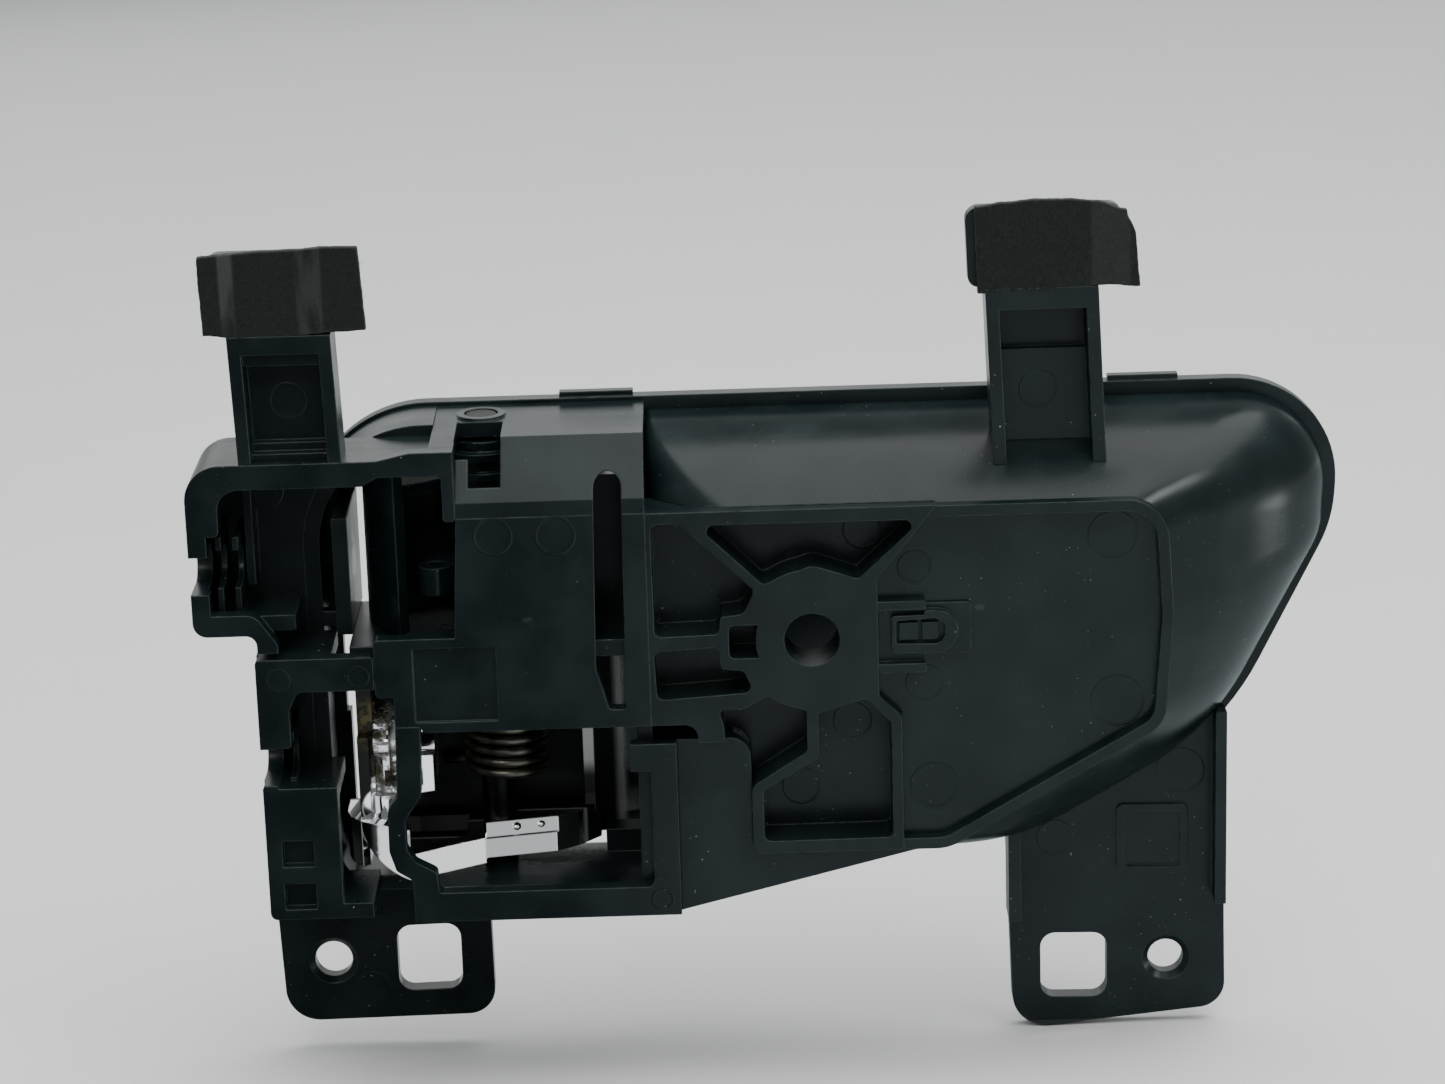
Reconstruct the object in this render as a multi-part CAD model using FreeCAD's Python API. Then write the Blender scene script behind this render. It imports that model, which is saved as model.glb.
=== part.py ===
import FreeCAD, Part
import math
import os

os.makedirs("parts", exist_ok=True)

# Interior door handle, right-hand side.  Millimetres, +Z up, +Y towards the cabin.
# The origin is the centre of the main screw hole on the rear plane (Y = 0).

# ---- overall sizes -------------------------------------------------------------
depth = 26.5             # rear plane to the front face of the bezel
cup_length = 99.0        # right face of the mechanism case to the tip of the bezel
case_offset = 22.6       # main screw to the right face of the mechanism case
case_width = 26.0        # width of the upper rear plate
box_width = 37.0         # upper cable box, left of the plate
top_z = 28.5             # top wall above the main screw
floor_z = -40.2          # underside of the case floor
stalk_height = 18.0      # top wall to the left pad head
stalk_step = 1.9         # right pad head above the left one
pad_height = 11.6
tab_drop = 23.0          # case floor to the end of the left tab
tab_step = 4.8           # right tab end below the left one
wall = 2.2               # moulded wall
rear_t = 2.4             # thickness of the rear frames

# ---- hinge, knob and lever -----------------------------------------------------
pin_radius = 2.4
run_clear = 0.05         # radial running clearance on the pin
pin_inset = 7.5          # pin axis behind the bezel face
pin_from_case = 22.9     # pin axis to the right face of the case
knob_radius = 17.3
knob_bottom = 0.5
knob_top = 24.5
knob_gap = 1.6           # knob to the side wall of its opening
hub_radius = 5.2
lever_reach = 19.5       # pin axis to the left edge of the lever
lever_top = -2.5
lever_bottom = -36.6
flange_t = 5.3           # height of each lever knuckle
lever_t = 2.8            # thickness of the grip
lever_proud = 1.5        # grip in front of the bezel
grip_end = 82.5          # pin axis to the free end of the grip
band_top = -28.9         # upper edge of the band round the lower knuckle
crank_low = -25.4
gap = 0.3                # least gap between pieces that move past each other

# ---- return spring -------------------------------------------------------------
wire_radius = 0.75
coil_radius = 5.4
coil_pitch = 1.66
coil_turns = 8.5
coil_shift = 1.5         # the loose coil rests against one side of the pin
coil_back = 0.7

# ---- rear ribs, boss and cup ---------------------------------------------------
screw_radius = 3.85
boss_radius = 10.2
rib_depth = 6.5
core_t = 8.0
rib_t = 1.6
cup_back = 1.8           # back of the cup floor
rim_t = 2.5              # thickness of the bezel
rim_w = 4.2              # width of the bezel rim
tab_back = 6.5           # rear face of the tabs behind the bezel face
tab_t = 2.8
pad_t = 1.6
right_stalk_y = 7.0
seat_width = 5.4         # cable ferrule seats
seam = 0.1               # cup beside the case
plate_low = -11.9        # lower edge of the rear plate and of the case rib
web_top = -14.6
neck_x = -16.2           # neck between the case rib and the web
square_depth = 7.8       # screw axis to the inner side of the square hole

# ---- positions that follow -----------------------------------------------------
case_right = -case_offset
plate_left = case_right - case_width
box_left = plate_left - box_width
cup_right = case_right + cup_length
pin_x = case_right - pin_from_case
pin_y = depth - pin_inset
rim_y = depth - rim_t
rim_top = top_z + 1.0
tab_y = depth - tab_back
grip_front = depth + lever_proud
grip_back = grip_front - lever_t
lever_left = pin_x - lever_reach
lever_right = pin_x + 14.5
rim_left = pin_x - lever_reach - 6.5
side_x = pin_x - knob_radius - knob_gap
box_front = 13.2
floor_top = floor_z + wall
stop_low = -20.0
stop_high = -11.0
spring_x = pin_x + coil_shift
spring_y = pin_y - coil_back
top_under = top_z - wall


def v(x, y, z):
    return FreeCAD.Vector(x, y, z)


def box(x0, x1, y0, y1, z0, z1):
    return Part.makeBox(x1 - x0, y1 - y0, z1 - z0, v(x0, y0, z0))


def cyl_z(x, y, r, z0, z1):
    return Part.makeCylinder(r, z1 - z0, v(x, y, z0), v(0, 0, 1))


def cyl_y(x, z, r, y0, y1):
    return Part.makeCylinder(r, y1 - y0, v(x, y0, z), v(0, 1, 0))


def prism_x(points, x0, x1):
    wire = Part.makePolygon([v(x0, y, z) for y, z in points + points[:1]])
    return Part.Face(wire).extrude(v(x1 - x0, 0, 0))


def prism_z(points, z0, z1):
    wire = Part.makePolygon([v(x, y, z0) for x, y in points + points[:1]])
    return Part.Face(wire).extrude(v(0, 0, z1 - z0))


def rounded_wire(points, y):
    """Closed outline in the XZ plane; each point is x, z, corner radius."""
    edges = []
    ends = []
    count = len(points)
    for i, (x, z, r) in enumerate(points):
        here = v(x, y, z)
        before = v(points[i - 1][0], y, points[i - 1][1]) - here
        after = v(points[(i + 1) % count][0], y, points[(i + 1) % count][1]) - here
        half = before.getAngle(after) / 2
        if r < 0.01 or half > math.pi / 2 - 0.01:
            ends.append((here, here))
            continue
        reach = r / math.tan(half)
        a = here + before.normalize() * reach
        b = here + after.normalize() * reach
        middle = (before + after).normalize()
        tip = here + middle * (r / math.sin(half) - r)
        ends.append((a, b))
        edges.append(("arc", i, Part.Arc(a, tip, b).toShape()))
    arcs = {i: shape for kind, i, shape in edges}
    ordered = []
    for i in range(count):
        if i in arcs:
            ordered.append(arcs[i])
        start = ends[i][1]
        stop = ends[(i + 1) % count][0]
        if start.distanceToPoint(stop) > 0.001:
            ordered.append(Part.makeLine(start, stop))
    return Part.Wire(ordered)


def plate(points, y0, y1):
    """Solid between y0 and y1 with a rounded outline."""
    full = [p if len(p) == 3 else (p[0], p[1], 0) for p in points]
    return Part.Face(rounded_wire(full, y0)).extrude(v(0, y1 - y0, 0))


def inset(points, d):
    """The same convex outline moved inwards by d, corners kept concentric."""
    area = 0
    count = len(points)
    for i in range(count):
        x0, z0 = points[i - 1][:2]
        x1, z1 = points[i][:2]
        area += x0 * z1 - x1 * z0
    turn = 1 if area > 0 else -1
    lines = []
    for i in range(count):
        x0, z0 = points[i][:2]
        x1, z1 = points[(i + 1) % count][:2]
        length = math.hypot(x1 - x0, z1 - z0)
        nx = -turn * (z1 - z0) / length
        nz = turn * (x1 - x0) / length
        lines.append((nx, nz, nx * x0 + nz * z0 + d))
    moved = []
    for i in range(count):
        a1, b1, c1 = lines[i - 1]
        a2, b2, c2 = lines[i]
        det = a1 * b2 - a2 * b1
        x = (c1 * b2 - c2 * b1) / det
        z = (a1 * c2 - a2 * c1) / det
        moved.append((x, z, max(points[i][2] - d, 0.6)))
    return moved


def join(*shapes):
    solid = shapes[0]
    for shape in shapes[1:]:
        solid = solid.fuse(shape)
    return solid.removeSplitter()


def save(name, shape):
    solid = shape.removeSplitter()
    if not solid.isValid() or len(solid.Solids) != 1:
        print("look at", name, "valid", solid.isValid(), "solids", len(solid.Solids))
    solid.exportStep("parts/" + name + ".step")
    print(name, round(solid.Volume, 1))


# ---- shared outlines -----------------------------------------------------------
def bezel_outline():
    tip = cup_right + 0.6
    return [
        (rim_left, rim_top, 18),
        (tip, rim_top, 15),
        (tip - 1.2, 8.0, 20),
        (tip - 0.17 * cup_length, -23.0, 40),
        (tip - 0.41 * cup_length, -37.5, 30),
        (case_right + 4.0, floor_z - 3.8, 20),
        (rim_left, floor_z - 3.8, 12),
    ]


def cup_section(share, d):
    """Outline of the cup at a share of its depth, moved inwards by d."""
    tip = cup_right - 1.4
    low = 0.41 * cup_length
    back = [
        (case_right + seam, 18.8, 9),
        (tip - 0.26 * cup_length, 18.8, 6),
        (tip - 0.25 * cup_length, 2.0, 10),
        (tip - 0.262 * cup_length, -14.0, 5),
        (tip - 0.57 * cup_length, -31.4, 6),
        (case_right + 13.8, -31.4, 5),
    ]
    front = [
        (case_right + seam, rim_top - 2.0, 1.0),
        (tip, rim_top - 2.0, 13),
        (tip - 1.0, 7.5, 10),
        (tip - 0.17 * cup_length, -22.0, 38),
        (tip - low, -35.6, 26),
        (case_right + seam, -41.6, 8),
    ]
    bulge = 1 - (1 - share) ** 2
    mixed = []
    for b, f in zip(back, front):
        mixed.append(tuple(b[i] + (f[i] - b[i]) * bulge for i in range(3)))
    return inset(mixed, d) if d else mixed


def cup_loft(d, y0, y1):
    wires = []
    for step in range(5):
        share = step / 4
        wires.append(rounded_wire(cup_section(share, d), y0 + (y1 - y0) * share))
    return Part.makeLoft(wires, True, False)


def rib_core_outline():
    return [
        (case_right, 18.9, 0),
        (boss_radius + 7.3, 18.9, 0),
        (boss_radius - 1.0, 8.5, 0),
        (boss_radius - 1.0, -8.5, 0),
        (boss_radius + 2.1, -11.5, 0),
        (boss_radius + 2.1, -31.4, 0),
        (-8.9, -31.4, 1.2),
        (-8.9, web_top, 3),
        (neck_x, web_top, 0),
        (neck_x, plate_low, 2),
        (case_right, plate_low, 0),
    ]


def web_outline():
    left = case_right + 3.3
    return [(left, web_top, 0), (-5.0, web_top, 0), (-5.0, -31.4, 0), (17.0, -31.4, 0), (left, floor_z, 0)]


outer_cup = cup_loft(0, cup_back, rim_y)
core_solid = plate(rib_core_outline(), 0, core_t)
web_solid = plate(web_outline(), cup_back, cup_back + wall)


# ---- cup, bezel and rear ribs --------------------------------------------------
def cup_shell():
    inner = cup_loft(wall, cup_back + wall, rim_y + 0.01)
    return outer_cup.cut(inner).cut(core_solid).cut(web_solid)


def front_bezel():
    outline = bezel_outline()
    opening = plate(inset(outline, rim_w), rim_y - 1, depth + 1)
    side = box(rim_left, side_x, rim_y - 2, depth + 2, 0, top_z)
    ring = plate(outline, rim_y, depth).cut(opening.cut(side))
    lug_z = rim_top
    for x0, width in ((case_right - 12.0, 10.5), (43.5, 10.0)):
        ring = ring.fuse(box(x0, x0 + width, rim_y + 0.4, depth - 0.5, lug_z - 0.4, lug_z + 0.8))
    lip = box(rim_left + rim_w - 0.5, lever_left - 1.75, rim_y, depth, floor_top + 5.0, crank_low + 9.0)
    return ring.fuse(lip)


def rib_pockets():
    b = boss_radius
    return [
        [(-21.9, 17.3, 1), (-18.0, 17.3, 1), (-7.8, 7.4, 1), (-9.4, 4.0, 1.4), (-12.6, 3.7, 0.5),
         (-12.9, 1.2, 1), (-21.8, 1.0, 1)],
        [(-22.0, -1.1, 1), (-13.0, -0.7, 1), (-12.7, -3.9, 0.5), (-9.6, -4.2, 1.2), (-8.2, -7.4, 1),
         (-21.7, -8.2, 1)],
        [(-15.6, 17.0, 1), (b + 5.4, 16.9, 1), (6.6, 8.6, 0.8), (0.2, b + 0.6, 3), (-6.6, 8.2, 0.8)],
        [(-13.2, -9.9, 0.6), (-9.6, -9.8, 2), (-6.4, -8.0, 0.6), (-1.0, -b - 0.2, 0.3), (-1.0, -16.4, 1),
         (-8.3, -21.0, 0.8), (-9.1, -22.2, 0), (-9.8, -22.2, 0), (-9.8, -15.5, 0), (-12.4, web_top - 0.3, 0),
         (-12.6, -12.2, 0.8)],
        [(0.6, -b - 0.6, 0.3), (7.4, -b + 1.4, 1), (b + 0.6, -12.4, 1), (b + 0.6, -29.5, 1),
         (-7.3, -29.6, 1), (-7.3, -22.0, 0.8), (0.6, -17.3, 0.8)],
    ]


def rear_rib_core():
    core = core_solid
    for pocket in rib_pockets():
        core = core.cut(plate(pocket, -1, rib_depth))
    core = core.fuse(cyl_y(0, 0, boss_radius, 0, core_t).common(core_solid))
    square = plate([(-11.5, 2.4, 0.8), (0, 2.4, 0), (0, -2.4, 0), (-11.5, -2.4, 0.8)], -1, rib_depth)
    core = core.cut(square.cut(cyl_y(0, 0, square_depth, -2, core_t)))
    return core.cut(cyl_y(0, 0, screw_radius, -1, core_t + 1))


def rear_rim_rib():
    """Raised rib round the flat right part of the cup floor."""
    outline = cup_section(0, 0)
    ring = plate(outline, 0, cup_back).cut(plate(inset(outline, rib_t), -1, cup_back + 1))
    return ring.cut(core_solid).cut(box(-200, boss_radius + 2.1, -1, 5, -60, 10))


def retaining_clip():
    """Moulded snap tongue beside the screw boss, between two short bars."""
    x0 = boss_radius - 1.0
    base = plate([(x0, 5.2, 0), (x0 + 6.6, 5.2, 0.5), (x0 + 6.6, 4.5, 0), (x0 + 13.0, 4.5, 0.6),
                  (x0 + 13.0, -3.0, 0.6), (x0 + 6.6, -3.0, 0), (x0 + 6.6, -5.2, 0.5), (x0, -5.2, 0)],
                 cup_back - 0.5, cup_back)
    bars = [box(x0, x0 + 6.6, 0, cup_back - 0.5, z, z + 1.3) for z in (-5.2, 3.9)]
    tongue = plate([(x0 + 1.9, 3.0, 0.4), (x0 + 6.4, 3.1, 0), (x0 + 6.4, 3.7, 0.3), (x0 + 11.1, 3.7, 3.0),
                    (x0 + 11.1, -2.5, 3.0), (x0 + 1.9, -2.4, 0.4)], 0.2, cup_back - 0.5)
    hollow = plate([(x0 + 2.5, 2.3, 0.3), (x0 + 9.3, 2.7, 1.6), (x0 + 9.3, -1.2, 1.6), (x0 + 2.5, -1.0, 0.3)],
                   -1, cup_back - 0.5)
    blocks = [box(x0 + x, x0 + x + wide, 0.6, cup_back - 0.5, -0.6, 1.9) for x, wide in ((2.9, 2.6), (6.1, 2.2))]
    return join(base, *bars, tongue.cut(hollow), *blocks).cut(core_solid)


# ---- mechanism case ------------------------------------------------------------
def slot_tool():
    x = case_right - 5.0
    half = 1.9
    return plate([(x - half, 24.3, half), (x + half, 24.3, half), (x + half - 0.4, -9.3, 0.6),
                  (x - 0.8, -9.3, 0.6), (x - half - 0.6, -3.2, 2)], -1, 12)


def case_back_plate():
    left = pin_x - 15.4
    body = plate([(left, 1.8, 0.6), (plate_left - 0.9, 1.8, 0), (plate_left, 19.0, 0), (case_right, 19.0, 0),
                  (case_right, plate_low, 0), (pin_x - 9.3, plate_low, 0.8), (pin_x - 9.3, -11.0, 0),
                  (pin_x - 12.9, -11.0, 0), (pin_x - 12.9, -6.6, 0), (left, -6.6, 0.6)], 0, rear_t)
    recess = plate([(pin_x - 10.0, 0.4, 0.3), (pin_x + 1.6, 0.4, 0.3), (pin_x + 1.6, -10.4, 0.3),
                    (pin_x - 10.0, -10.4, 0.3)], -1, 0.5)
    return body.cut(recess).cut(slot_tool())


def case_top():
    outline = [(0, 19.0), (0, 21.2), (7.5, top_z), (rim_y, top_z + 0.4), (rim_y, top_under + 0.4),
               (8.2, top_under), (rear_t, 20.4), (rear_t, 19.0)]
    body = prism_x(outline, plate_left, case_right)
    ledge = prism_x([(rear_t, top_under + 0.05), (rear_t, top_z), (rim_y, top_z + 0.4),
                     (rim_y, top_under + 0.4)], plate_left - 3.4, plate_left)
    notch = box(plate_left - 0.1, pin_x + 3.2, 5.0, 15.2, 20.6, top_z + 2)
    notch = notch.fuse(box(pin_x - 1.3, pin_x + 3.2, 1.7, 15.2, 20.6, top_z + 2))
    bore = cyl_z(pin_x, pin_y, pin_radius, 20, 40)
    ring = cyl_z(pin_x, pin_y, pin_radius + 1.1, top_z + 0.1, top_z + 0.55)
    return join(body, ledge, ring).cut(notch).cut(slot_tool()).cut(bore)


def case_right_wall():
    """Wall beside the cup, with a lip that closes the corner and a fence behind the knob."""
    inner = case_right - wall
    body = box(inner, case_right, rear_t, rim_y - 1.5, floor_top, 20.4)
    upper = prism_x([(rear_t, 20.4), (8.2, top_under), (rim_y - 1.5, top_under + 0.35),
                     (rim_y - 1.5, 20.4)], inner, case_right)
    lip = box(inner, case_right + 8.0, rim_y - wall, rim_y, floor_top, top_under + 0.3)
    lip = lip.cut(plate(cup_section(1, 0), rim_y - 3, rim_y + 1))
    stop = box(inner - 1, case_right, rim_y - 1.5, rim_y + 1, stop_low, stop_high)
    fence = box(inner - 6.7, inner, pin_y - 3.4, pin_y - 1.2, knob_bottom - gap, 20.4)
    return join(body, upper, fence, lip.cut(stop))


def middle_shelf():
    """Shelf that carries the knob and parts it from the lever."""
    body = box(side_x, case_right - wall, rear_t, rim_y, lever_top + gap, knob_bottom - gap)
    return body.cut(cyl_z(pin_x, pin_y, pin_radius, lever_top - 1, knob_bottom + 1))


def case_floor():
    body = box(pin_x - 11.5, case_right, rear_t, box_front, floor_z, floor_top)
    wide = box(rim_left + 0.5, case_right, box_front, rim_y, floor_z, floor_top)
    sill = box(lever_right + 0.8, case_right - wall, pin_y + 1.0, rim_y, floor_top, floor_top + 3.5)
    return join(body, wide, sill).cut(cyl_z(pin_x, pin_y, pin_radius, floor_z - 1, floor_top + 1))


def case_left_wall():
    """End wall of the case and its rounded top corner, up to the bezel."""
    outline = bezel_outline()
    shell = plate(inset(outline, 0.5), box_front, rim_y).cut(
        plate(inset(outline, 0.5 + wall), box_front - 1, rim_y + 1))
    keep = box(-200, plate_left - 3.4, 0, 40, floor_top, 60)
    side = box(side_x - wall, side_x, box_front - 4.2, rim_y, 0, 17.0)
    corner = plate(inset(outline, 0.5 + wall - 0.01), box_front - 4.2, rim_y)
    return join(shell.common(keep), side.common(corner), box(rim_left + 2.0, side_x - wall + 0.01,
                box_front, box_front + wall, 0, wall))


# ---- cable boxes on the left ---------------------------------------------------
def cable_seat(x, z):
    """Slot with a round end for a cable ferrule, pushed in from the rear."""
    half = seat_width / 2
    slot = box(x - 1, x + 7.0, -1, 6.4, z - half, z + half)
    end = cyl_z(0, 0, half, 0, 8.0)
    end.rotate(v(0, 0, 0), v(0, 1, 0), 90)
    end.translate(v(x - 1, 6.4, z))
    return slot.fuse(end)


def upper_cable_frame():
    left = box_left
    ring = plate([(left, top_z - 1.0, 5), (plate_left - 10.5, top_z - 1.0, 0), (plate_left - 6.0, top_z, 2),
                  (plate_left, top_z, 0), (plate_left, 18.6, 0.5), (plate_left - 1.7, 18.6, 0.5),
                  (plate_left - 1.7, top_z - 3.3, 0), (plate_left - 10.4, top_z - 3.3, 0),
                  (plate_left - 12.6, top_z - 4.5, 0), (left + 4.4, top_z - 4.5, 3), (left + 4.4, 17.4, 0.8),
                  (left + 2.6, 17.4, 0), (left + 2.6, 6.0, 0),
                  (left + 8.6, 6.0, 2.6), (left + 11.6, 1.6, 1), (left + 11.6, 0.4, 0), (left + 8.7, 0.4, 0),
                  (left + 8.7, 3.0, 1.5), (left, 3.0, 2)], 0, rear_t)
    top = box(left + 5.0, plate_left - 3.4, rear_t, box_front, top_z - 1.0 - wall, top_z - 1.0)
    outer = plate([(left, top_z - 1.0, 5), (left + 14, top_z - 1.0, 0), (left + 14, 3.0, 0), (left, 3.0, 2)],
                  rear_t, box_front)
    inner = plate([(left + wall, top_z - 1.0 - wall, 3), (left + 15, top_z - 1.0 - wall, 0),
                   (left + 15, 3.0 + wall, 0), (left + wall, 3.0 + wall, 1)], 0, box_front + 1)
    drop = box(left + 8.7, left + 8.7 + wall, rear_t, box_front, 0.4, 3.0 + wall)
    ribs = [box(left + d, left + d + 0.8, 3.4, box_front, 3.0 + wall, 16.4) for d in (3.4, 5.8)]
    return join(ring, top, outer.cut(inner), drop, *ribs).cut(cable_seat(left, 11.8))


def lower_cable_frame():
    left = box_left + 8.2
    right = pin_x - 15.5
    low = floor_z + 1.0
    ring = plate([(left, -0.6, 0.6), (right, -0.6, 0.4), (right, -5.4, 0), (left + 5.6, -5.4, 1.2),
                  (left + 4.4, -8.0, 1), (left + 4.4, -13.6, 0.5), (left + 2.2, -13.6, 0), (left + 2.2, -19.6, 0),
                  (left + 10.4, -19.6, 0), (left + 10.4, low, 0), (left, low, 1), (left, -19.6, 0),
                  (left + 0.6, -18.0, 0.5), (left + 0.6, -15.4, 0.5), (left, -14.2, 0)], 0, rear_t)
    for z in (-27.4, -33.8):
        ring = ring.cut(box(left + 2.2, left + 6.6, -1, 1.6, z - 3.9, z))
    side = box(left, left + wall, rear_t, box_front, low, -0.6)
    shelf = box(left + wall, left + 10.4, rear_t, box_front, -21.6, -19.6)
    base = box(left + wall, right - 1.8, rear_t, box_front, low, low + wall)
    foot = box(left + 10.4, right - 1.8, 0, rear_t, low, low + wall)
    cap = box(left + wall, pin_x - lever_reach - 2.0, rear_t, box_front, -2.8, -0.6)
    rib = box(left + 3.6, left + 4.4, 3.4, box_front, -19.6, -12.4)
    return join(ring, side, shelf, base, foot, cap, rib).cut(cable_seat(left, -16.4))


def left_front_skin():
    """Front closing panel of both cable boxes."""
    left = box_left
    top = top_z - 1.0
    upper = plate([(left, top, 5), (side_x - wall, top, 0), (side_x - wall, 0.4, 0), (left + 8.7, 0.4, 0),
                   (left + 8.7, 3.0, 0), (left, 3.0, 2)], box_front, box_front + wall)
    lower = box(left + 8.2, rim_left + 1.0, box_front, box_front + wall, floor_z + 1.0, 0.4)
    rib = box(left + 7.0, left + 8.2, box_front - 5.0, box_front, 8.0, top - wall)
    corner = plate(inset(bezel_outline(), 0.5), 0, 40)
    floor = box(rim_left + 0.5, case_right, 0, 40, floor_z, floor_top)
    return join(upper, lower).cut(corner).cut(floor).fuse(rib)


def lower_window_frame():
    a = pin_x
    strut = [(a - 12.9, -11.0, 0), (a - 13.2, -21.4, 1), (a - 14.6, -23.2, 1.5), (a - 14.7, -29.4, 2),
             (a - 13.8, -32.4, 1), (a - 11.6, -33.8, 1), (a - 11.5, floor_z, 0), (case_right + 3.3, floor_z, 0),
             (case_right + 3.3, web_top, 0), (case_right - 0.4, web_top, 0),
             (case_right - 0.4, -35.9, 1), (a - 7.9, -35.9, 0.5),
             (a - 8.1, -32.8, 1), (a - 11.0, -31.2, 1), (a - 12.2, -29.2, 1), (a - 12.2, -24.8, 1),
             (a - 9.8, -21.2, 1), (a - 9.4, -11.0, 0)]
    lug = box(case_right - 3.2, case_right - 0.3, 0, rear_t, web_top - 4.0, web_top)
    return join(plate(strut, 0, rear_t), lug)


def spring_leg_rib():
    """Rib on the back plate that carries the fixed leg of the return spring."""
    x = pin_x - 9.1
    top = lever_top - flange_t - 0.4
    return box(x, x + 1.6, rear_t, spring_y - coil_radius - wire_radius, top - 2.3, top)


def web_panel():
    return web_solid.cut(core_solid)


# ---- stalks and tabs -----------------------------------------------------------
def stalk(base_x, lean, y, base_z, width, top, floors):
    """Channel-section stalk, open to the rear; floors are steps of the channel: low z, high z, depth."""
    half = width / 2
    outline = [(base_x - half, base_z), (base_x + half, base_z), (base_x + lean + half, top),
               (base_x + lean - half, top)]
    body = plate([(x, z, 0) for x, z in outline], y, y + 7.0)
    hollow = [(base_x - half + 1.8, base_z - 1), (base_x + half - 1.8, base_z - 1),
              (base_x + lean + half - 1.8, top), (base_x + lean - half + 1.8, top)]
    for low, high, deep in floors:
        channel = plate([(x, z, 0) for x, z in hollow], y - 1, y + deep)
        body = body.cut(channel.common(box(-300, 300, -5, 40, low, high)))
    head = plate([(base_x + lean - half - 2.2, top, 1.5), (base_x + lean + half + 3.8, top, 1.5),
                  (base_x + lean + half + 3.4, top + pad_height - 0.4, 2),
                  (base_x + lean - half - 2.6, top + pad_height - 0.4, 2)], y + pad_t, y + pad_t + 2.2)
    neck = box(base_x + lean - half + 0.3, base_x + lean + half - 0.3, y + pad_t, y + 6.0, top - 0.5, top + 2.0)
    return join(body, head, neck)


left_stalk_x = plate_left - 22.2
right_stalk_x = cup_right - 42.5
stalk_lean = -0.55
left_stalk_top = top_z - 1.0 + stalk_height
right_stalk_top = left_stalk_top + stalk_step


def top_stalk_left():
    base = top_z - 1.0
    floors = [(base - 1, base + 1.0, 2.0), (base + 1.0, base + 2.2, 3.6), (base + 2.2, left_stalk_top - 4.4, 5.0),
              (left_stalk_top - 4.4, left_stalk_top - 2.6, 1.2)]
    return stalk(left_stalk_x, stalk_lean, 0, base, 14.1, left_stalk_top, floors)


def top_stalk_right():
    floors = [(18.0, right_stalk_top - 9.6, 4.4), (right_stalk_top - 9.6, right_stalk_top - 3.0, 6.0)]
    body = stalk(right_stalk_x, stalk_lean * 2, right_stalk_y, 20.0, 15.6, right_stalk_top, floors)
    return body.cut(outer_cup)


def pad(x, y, top, sign):
    left = x - 11.0 + 0.8
    right = x + 11.0 + 0.8
    return plate([(left, top, 1), (right, top + 0.6 * sign, 1), (right, top + pad_height + 0.4, 1),
                  (left - 0.2, top + pad_height - 0.5 * sign, 1)], y, y + pad_t)


def felt_pad_left():
    return pad(left_stalk_x + stalk_lean, 0, left_stalk_top, 1)


def felt_pad_right():
    return pad(right_stalk_x + stalk_lean * 2 + 0.8, right_stalk_y, right_stalk_top, 1)


def bottom_tab_left():
    left = rim_left - 7.5
    right = pin_x - 2.2
    end = floor_z - tab_drop
    body = plate([(left, floor_z - 0.5, 0), (rim_left + 0.5, floor_z, 0), (right, floor_z, 0),
                  (right + 0.2, end + 0.4, 4), (left + 0.8, end, 5)], tab_y, tab_y + tab_t)
    hole = cyl_y(left + 7.9, end + 9.4, 2.75, tab_y - 1, tab_y + 5)
    sink = Part.makeCone(3.6, 2.75, 0.8, v(left + 7.9, tab_y, end + 9.4), v(0, 1, 0))
    square = plate([(right - 13.9, end + 14.6, 2.2), (right - 4.5, end + 14.8, 2.2),
                    (right - 4.5, end + 4.5, 2.2), (right - 13.9, end + 4.3, 2.2)], tab_y - 1, tab_y + 5)
    return body.cut(hole).cut(sink).cut(square)


def bottom_tab_right():
    left = cup_right - 48.4
    right = left + 32.2
    end = floor_z - tab_drop - tab_step
    body = plate([(left, -34.0, 0), (right - 0.6, -17.5, 0), (right, end + 3, 4), (left + 1.0, end, 5)],
                 tab_y, tab_y + tab_t)
    hx = right - 8.7
    hz = end + 10.7
    hole = cyl_y(hx, hz, 2.6, tab_y - 1, tab_y + 5)
    sink = Part.makeCone(3.5, 2.6, 0.8, v(hx, tab_y, hz), v(0, 1, 0))
    square = plate([(left + 5.0, end + 15.2, 2.2), (left + 14.8, end + 15.0, 2.2),
                    (left + 14.8, end + 4.8, 2.2), (left + 5.0, end + 5.0, 2.2)], tab_y - 1, tab_y + 5)
    mark = plate([(right - 16.0, end + 35.1, 1), (right - 5.6, end + 34.9, 1), (right - 5.6, end + 24.1, 1),
                  (right - 16.0, end + 24.3, 1)], tab_y - 0.5, tab_y + 0.5)
    mark = mark.cut(plate([(right - 14.9, end + 34.0, 0.6), (right - 6.7, end + 33.8, 0.6),
                           (right - 6.7, end + 25.2, 0.6), (right - 14.9, end + 25.4, 0.6)],
                          tab_y - 1, tab_y))
    flange_l = box(left, left + 1.8, tab_y - 6.0, tab_y, -48.5, -33.0)
    flange_r = box(right - 2.0, right - 0.4, tab_y - 4.0, tab_y, -47.5, -18.0)
    return join(body, mark, flange_l, flange_r).cut(hole).cut(sink).cut(square).cut(outer_cup)


# ---- hinge pin, springs and stop -----------------------------------------------
def hinge_pin():
    pin = cyl_z(pin_x, pin_y, pin_radius, floor_z, top_z + 0.45)
    return pin.makeChamfer(0.3, [e for e in pin.Edges if e.Curve.TypeId == "Part::GeomCircle"])


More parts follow.
